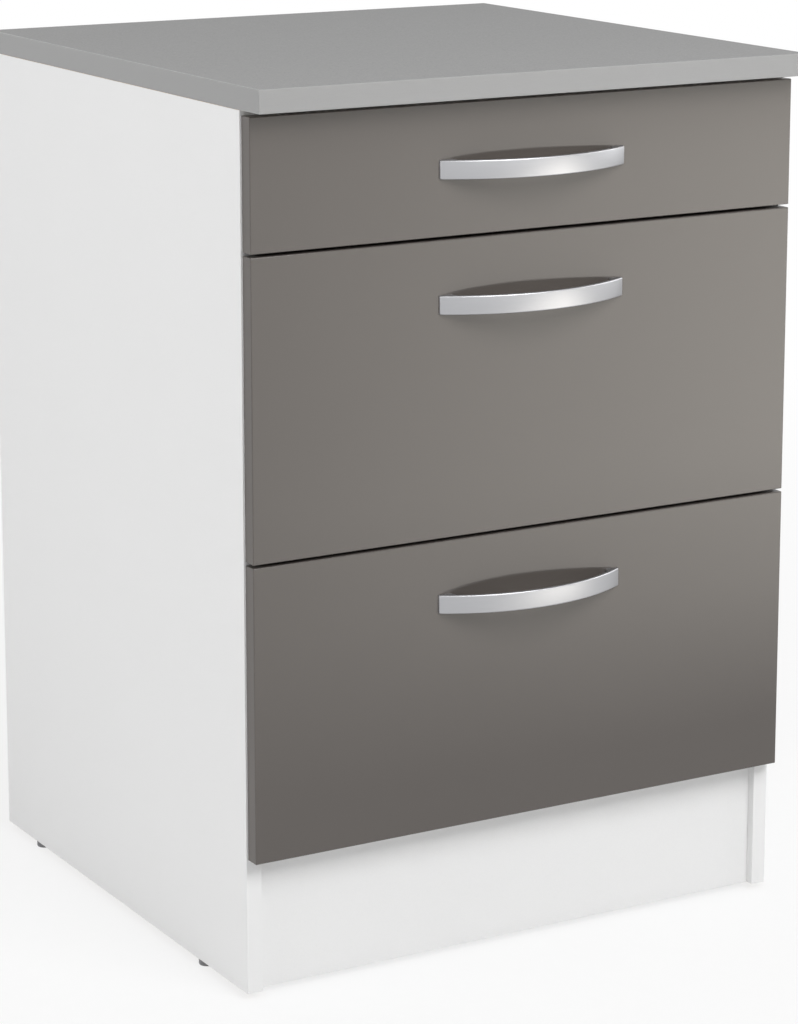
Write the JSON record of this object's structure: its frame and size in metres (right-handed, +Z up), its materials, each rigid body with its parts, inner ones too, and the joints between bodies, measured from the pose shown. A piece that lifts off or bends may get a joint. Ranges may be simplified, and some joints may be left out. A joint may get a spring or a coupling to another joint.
{
  "type": "base cabinet with drawers",
  "caption": "Kitchen base cabinet with full-width gloss drawer fronts, bow handles and roller runners under a square laminate worktop, on a recessed plinth and low glides.",
  "frame": {"origin": "on the floor, under the middle of the bounding box", "axes": "+Z up, drawers open towards -Y, +X to the right seen from the front"},
  "size_m": [0.6, 0.609, 0.866],
  "materials": {
    "white_melamine": "satin white melamine facing on particle board",
    "worktop_laminate": "matt mid-grey laminate on particle board",
    "front_gloss": "high-gloss taupe grey lacquer on fibreboard",
    "handle_metal": "satin nickel",
    "runner_steel": "white epoxy coating on folded steel sheet",
    "roller_nylon": "natural white nylon",
    "zinc_steel": "bright zinc plating",
    "hardboard": "hardboard, white lacquer on the face that shows",
    "grey_plastic": "moulded grey plastic"
  },
  "bodies": {
    "cabinet": {"side_panel_left": "white_melamine", "side_panel_right": "white_melamine", "bottom_panel": "white_melamine", "plinth_board": "white_melamine", "front_top_rail": "white_melamine", "rear_top_rail": "white_melamine", "back_panel": "hardboard", "worktop": "worktop_laminate", "floor_glide_front_left": "grey_plastic", "floor_glide_front_right": "grey_plastic", "floor_glide_rear_left": "grey_plastic", "floor_glide_rear_right": "grey_plastic", "top_cabinet_runner_left": "runner_steel", "top_cabinet_runner_right": "runner_steel", "middle_cabinet_runner_left": "runner_steel", "middle_cabinet_runner_right": "runner_steel", "bottom_cabinet_runner_left": "runner_steel", "bottom_cabinet_runner_right": "runner_steel"},
    "top_drawer": {"top_drawer_front": "front_gloss", "top_drawer_side_left": "white_melamine", "top_drawer_side_right": "white_melamine", "top_drawer_back": "white_melamine", "top_drawer_bottom": "hardboard", "top_handle": "handle_metal", "top_handle_screw_left": "zinc_steel", "top_handle_screw_right": "zinc_steel", "top_drawer_runner_left": "runner_steel", "top_drawer_runner_right": "runner_steel"},
    "top_front_roller_left": {"top_front_roller_left": "roller_nylon"},
    "top_front_roller_right": {"top_front_roller_right": "roller_nylon"},
    "top_rear_roller_left": {"top_rear_roller_left": "roller_nylon"},
    "top_rear_roller_right": {"top_rear_roller_right": "roller_nylon"},
    "middle_drawer": {"middle_drawer_front": "front_gloss", "middle_drawer_side_left": "white_melamine", "middle_drawer_side_right": "white_melamine", "middle_drawer_back": "white_melamine", "middle_drawer_bottom": "hardboard", "middle_handle": "handle_metal", "middle_handle_screw_left": "zinc_steel", "middle_handle_screw_right": "zinc_steel", "middle_drawer_runner_left": "runner_steel", "middle_drawer_runner_right": "runner_steel"},
    "middle_front_roller_left": {"middle_front_roller_left": "roller_nylon"},
    "middle_front_roller_right": {"middle_front_roller_right": "roller_nylon"},
    "middle_rear_roller_left": {"middle_rear_roller_left": "roller_nylon"},
    "middle_rear_roller_right": {"middle_rear_roller_right": "roller_nylon"},
    "bottom_drawer": {"bottom_drawer_front": "front_gloss", "bottom_drawer_side_left": "white_melamine", "bottom_drawer_side_right": "white_melamine", "bottom_drawer_back": "white_melamine", "bottom_drawer_bottom": "hardboard", "bottom_handle": "handle_metal", "bottom_handle_screw_left": "zinc_steel", "bottom_handle_screw_right": "zinc_steel", "bottom_drawer_runner_left": "runner_steel", "bottom_drawer_runner_right": "runner_steel"},
    "bottom_front_roller_left": {"bottom_front_roller_left": "roller_nylon"},
    "bottom_front_roller_right": {"bottom_front_roller_right": "roller_nylon"},
    "bottom_rear_roller_left": {"bottom_rear_roller_left": "roller_nylon"},
    "bottom_rear_roller_right": {"bottom_rear_roller_right": "roller_nylon"}
  },
  "joints": [
    {"name": "top_drawer_slide", "type": "slide", "parent": "cabinet", "child": "top_drawer", "axis": [0, -1, 0], "range_m": [0, 0.375]},
    {"name": "top_front_roller_left_spin", "type": "hinge", "parent": "cabinet", "child": "top_front_roller_left", "pos_m": [-0.27875, -0.2392, 0.754], "axis": [1, 0, 0], "continuous": true},
    {"name": "top_front_roller_right_spin", "type": "hinge", "parent": "cabinet", "child": "top_front_roller_right", "pos_m": [0.27875, -0.2392, 0.754], "axis": [1, 0, 0], "continuous": true},
    {"name": "top_rear_roller_left_spin", "type": "hinge", "parent": "top_drawer", "child": "top_rear_roller_left", "pos_m": [-0.27875, 0.2275, 0.7516], "axis": [1, 0, 0], "continuous": true},
    {"name": "top_rear_roller_right_spin", "type": "hinge", "parent": "top_drawer", "child": "top_rear_roller_right", "pos_m": [0.27875, 0.2275, 0.7516], "axis": [1, 0, 0], "continuous": true},
    {"name": "middle_drawer_slide", "type": "slide", "parent": "cabinet", "child": "middle_drawer", "axis": [0, -1, 0], "range_m": [0, 0.375]},
    {"name": "middle_front_roller_left_spin", "type": "hinge", "parent": "cabinet", "child": "middle_front_roller_left", "pos_m": [-0.27875, -0.2392, 0.466], "axis": [1, 0, 0], "continuous": true},
    {"name": "middle_front_roller_right_spin", "type": "hinge", "parent": "cabinet", "child": "middle_front_roller_right", "pos_m": [0.27875, -0.2392, 0.466], "axis": [1, 0, 0], "continuous": true},
    {"name": "middle_rear_roller_left_spin", "type": "hinge", "parent": "middle_drawer", "child": "middle_rear_roller_left", "pos_m": [-0.27875, 0.2275, 0.4636], "axis": [1, 0, 0], "continuous": true},
    {"name": "middle_rear_roller_right_spin", "type": "hinge", "parent": "middle_drawer", "child": "middle_rear_roller_right", "pos_m": [0.27875, 0.2275, 0.4636], "axis": [1, 0, 0], "continuous": true},
    {"name": "bottom_drawer_slide", "type": "slide", "parent": "cabinet", "child": "bottom_drawer", "axis": [0, -1, 0], "range_m": [0, 0.375]},
    {"name": "bottom_front_roller_left_spin", "type": "hinge", "parent": "cabinet", "child": "bottom_front_roller_left", "pos_m": [-0.27875, -0.2392, 0.178], "axis": [1, 0, 0], "continuous": true},
    {"name": "bottom_front_roller_right_spin", "type": "hinge", "parent": "cabinet", "child": "bottom_front_roller_right", "pos_m": [0.27875, -0.2392, 0.178], "axis": [1, 0, 0], "continuous": true},
    {"name": "bottom_rear_roller_left_spin", "type": "hinge", "parent": "bottom_drawer", "child": "bottom_rear_roller_left", "pos_m": [-0.27875, 0.2275, 0.1756], "axis": [1, 0, 0], "continuous": true},
    {"name": "bottom_rear_roller_right_spin", "type": "hinge", "parent": "bottom_drawer", "child": "bottom_rear_roller_right", "pos_m": [0.27875, 0.2275, 0.1756], "axis": [1, 0, 0], "continuous": true}
  ],
  "couplings": [
    {"joint": "top_front_roller_left_spin", "follows": "top_drawer_slide", "rad_per_m": 117.65},
    {"joint": "top_front_roller_right_spin", "follows": "top_drawer_slide", "rad_per_m": 117.65},
    {"joint": "top_rear_roller_left_spin", "follows": "top_drawer_slide", "rad_per_m": 117.65},
    {"joint": "top_rear_roller_right_spin", "follows": "top_drawer_slide", "rad_per_m": 117.65},
    {"joint": "middle_front_roller_left_spin", "follows": "middle_drawer_slide", "rad_per_m": 117.65},
    {"joint": "middle_front_roller_right_spin", "follows": "middle_drawer_slide", "rad_per_m": 117.65},
    {"joint": "middle_rear_roller_left_spin", "follows": "middle_drawer_slide", "rad_per_m": 117.65},
    {"joint": "middle_rear_roller_right_spin", "follows": "middle_drawer_slide", "rad_per_m": 117.65},
    {"joint": "bottom_front_roller_left_spin", "follows": "bottom_drawer_slide", "rad_per_m": 117.65},
    {"joint": "bottom_front_roller_right_spin", "follows": "bottom_drawer_slide", "rad_per_m": 117.65},
    {"joint": "bottom_rear_roller_left_spin", "follows": "bottom_drawer_slide", "rad_per_m": 117.65},
    {"joint": "bottom_rear_roller_right_spin", "follows": "bottom_drawer_slide", "rad_per_m": 117.65}
  ]
}
